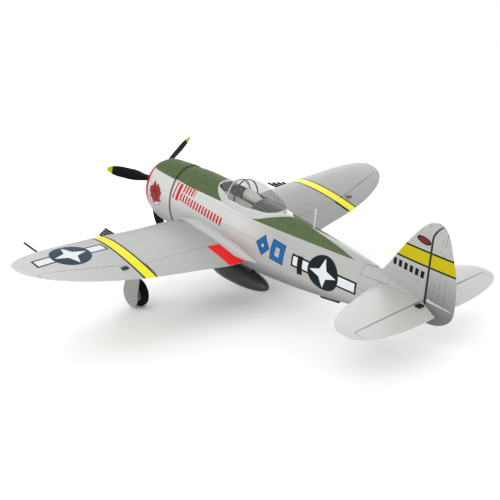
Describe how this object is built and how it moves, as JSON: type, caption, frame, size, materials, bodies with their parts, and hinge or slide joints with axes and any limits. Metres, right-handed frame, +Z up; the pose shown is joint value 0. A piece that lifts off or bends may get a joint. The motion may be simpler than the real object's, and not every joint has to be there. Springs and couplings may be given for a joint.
{
  "type": "radio-controlled warbird aeroplane",
  "caption": "Foam radio-controlled warbird with a radial cowl, three-blade propeller, bubble canopy hatch, hinged control surfaces and a fixed three-point undercarriage.",
  "frame": {"origin": "centre of the ground footprint, between the wing tips and between the nose and the rudder, on the ground under the wheels", "axes": "+X towards the left wing tip, +Y towards the tail, +Z up; the aeroplane sits nose high on its three wheels"},
  "size_m": [0.9916, 0.918, 0.3257],
  "materials": {
    "silver_foam": "painted foam, satin",
    "cowl_plastic": "painted moulded plastic",
    "red_lip": "painted",
    "engine_black": "moulded",
    "plywood": "light plywood",
    "motor_metal": "bright",
    "carbon": "carbon tube",
    "battery_wrap": "shrink wrap",
    "strap": "hook and loop",
    "clear_plastic": "clear",
    "frame_plastic": "painted",
    "cockpit_green": "painted",
    "seat_plastic": "painted",
    "tyre_rubber": "foam rubber",
    "hub_plastic": "moulded",
    "tank_plastic": "painted"
  },
  "bodies": {
    "airframe": {"aileron_servos": "engine_black", "antenna_mast": "frame_plastic", "battery": "battery_wrap", "battery_strap": "strap", "cowl": "cowl_plastic", "cowl_lip_ring": "red_lip", "drop_tank": "tank_plastic", "dummy_engine": "engine_black", "equipment_tray": "plywood", "exhaust_hood": "silver_foam", "fin": "silver_foam", "fuselage_shell": "silver_foam", "gear_doors": "silver_foam", "gear_legs": "motor_metal", "gear_mounts": "engine_black", "gun_barrels": "engine_black", "motor_mount": "plywood", "motor_stator": "motor_metal", "pitot_tube": "frame_plastic", "receiver": "engine_black", "spar_tube": "carbon", "speed_controller": "engine_black", "stabiliser": "silver_foam", "tail_servos": "engine_black", "tank_pylon": "tank_plastic", "wing_panel_left": "silver_foam", "wing_panel_right": "silver_foam"},
    "propeller_set": {"motor_bell": "motor_metal", "motor_shaft": "motor_metal", "propeller": "engine_black", "prop_nut": "motor_metal"},
    "aileron_left": {"aileron_left": "silver_foam", "aileron_horn_left": "engine_black"},
    "aileron_right": {"aileron_right": "silver_foam", "aileron_horn_right": "engine_black"},
    "flap_left": {"flap_left": "silver_foam"},
    "flap_right": {"flap_right": "silver_foam"},
    "elevator": {"elevator_left": "silver_foam", "elevator_right": "silver_foam", "elevator_joiner": "motor_metal", "elevator_horn": "engine_black"},
    "rudder": {"rudder": "silver_foam", "rudder_horn": "engine_black"},
    "tail_fork": {"tail_wheel_fork": "motor_metal"},
    "tail_wheel": {"tail_tyre": "tyre_rubber", "tail_hub": "hub_plastic"},
    "wheel_left": {"main_tyre_left": "tyre_rubber", "main_hub_left": "hub_plastic"},
    "wheel_right": {"main_tyre_right": "tyre_rubber", "main_hub_right": "hub_plastic"},
    "hatch": {"hatch_frame": "silver_foam", "cockpit_tub": "cockpit_green", "canopy_glass": "clear_plastic", "windscreen_glass": "clear_plastic", "windscreen_arch": "frame_plastic", "canopy_rail": "frame_plastic", "instrument_panel": "engine_black", "pilot_seat": "seat_plastic", "roll_hoop": "frame_plastic", "gunsight": "engine_black"}
  },
  "joints": [
    {"name": "propeller_spin", "type": "hinge", "parent": "airframe", "child": "propeller_set", "pos_m": [0, -0.42752, 0.24041], "axis": [0, -0.9755, 0.2199], "continuous": true},
    {"name": "aileron_left_turn", "type": "hinge", "parent": "airframe", "child": "aileron_left", "pos_m": [0.2705, -0.08117, 0.15342], "axis": [0.9641, -0.2282, 0.1361], "range_deg": [-25, 25]},
    {"name": "aileron_right_turn", "type": "hinge", "parent": "airframe", "child": "aileron_right", "pos_m": [-0.2705, -0.08117, 0.15342], "axis": [-0.9641, -0.2282, 0.1361], "range_deg": [-25, 25]},
    {"name": "flap_left_drop", "type": "hinge", "parent": "airframe", "child": "flap_left", "pos_m": [0.0605, -0.09871, 0.13931], "axis": [-0.9945, -0.0796, -0.0685], "range_deg": [0, 40]},
    {"name": "flap_right_drop", "type": "hinge", "parent": "airframe", "child": "flap_right", "pos_m": [-0.0605, -0.09871, 0.13931], "axis": [-0.9945, 0.0796, 0.0685], "range_deg": [0, 40]},
    {"name": "elevator_turn", "type": "hinge", "parent": "airframe", "child": "elevator", "pos_m": [0, 0.38623, 0.08051], "axis": [1, 0, 0], "range_deg": [-25, 25]},
    {"name": "rudder_turn", "type": "hinge", "parent": "airframe", "child": "rudder", "pos_m": [0, 0.39045, 0.07649], "axis": [0, 0.2199, 0.9755], "range_deg": [-25, 25]},
    {"name": "tail_steer", "type": "hinge", "parent": "airframe", "child": "tail_fork", "pos_m": [0, 0.26807, 0.02925], "axis": [0, 0.2199, 0.9755], "range_deg": [-25, 25]},
    {"name": "tail_wheel_spin", "type": "hinge", "parent": "tail_fork", "child": "tail_wheel", "pos_m": [0, 0.27625, 0.011], "axis": [1, 0, 0], "continuous": true},
    {"name": "wheel_left_spin", "type": "hinge", "parent": "airframe", "child": "wheel_left", "pos_m": [0.182, -0.27154, 0.032], "axis": [1, 0, 0], "continuous": true},
    {"name": "wheel_right_spin", "type": "hinge", "parent": "airframe", "child": "wheel_right", "pos_m": [-0.182, -0.27154, 0.032], "axis": [1, 0, 0], "continuous": true},
    {"name": "hatch_lift", "type": "slide", "parent": "airframe", "child": "hatch", "axis": [0, 0.2199, 0.9755], "range_m": [0, 0.08]}
  ],
  "couplings": [
    {"joint": "aileron_right_turn", "follows": "aileron_left_turn", "ratio": 1},
    {"joint": "flap_right_drop", "follows": "flap_left_drop", "ratio": 1},
    {"joint": "tail_steer", "follows": "rudder_turn", "ratio": 1}
  ]
}
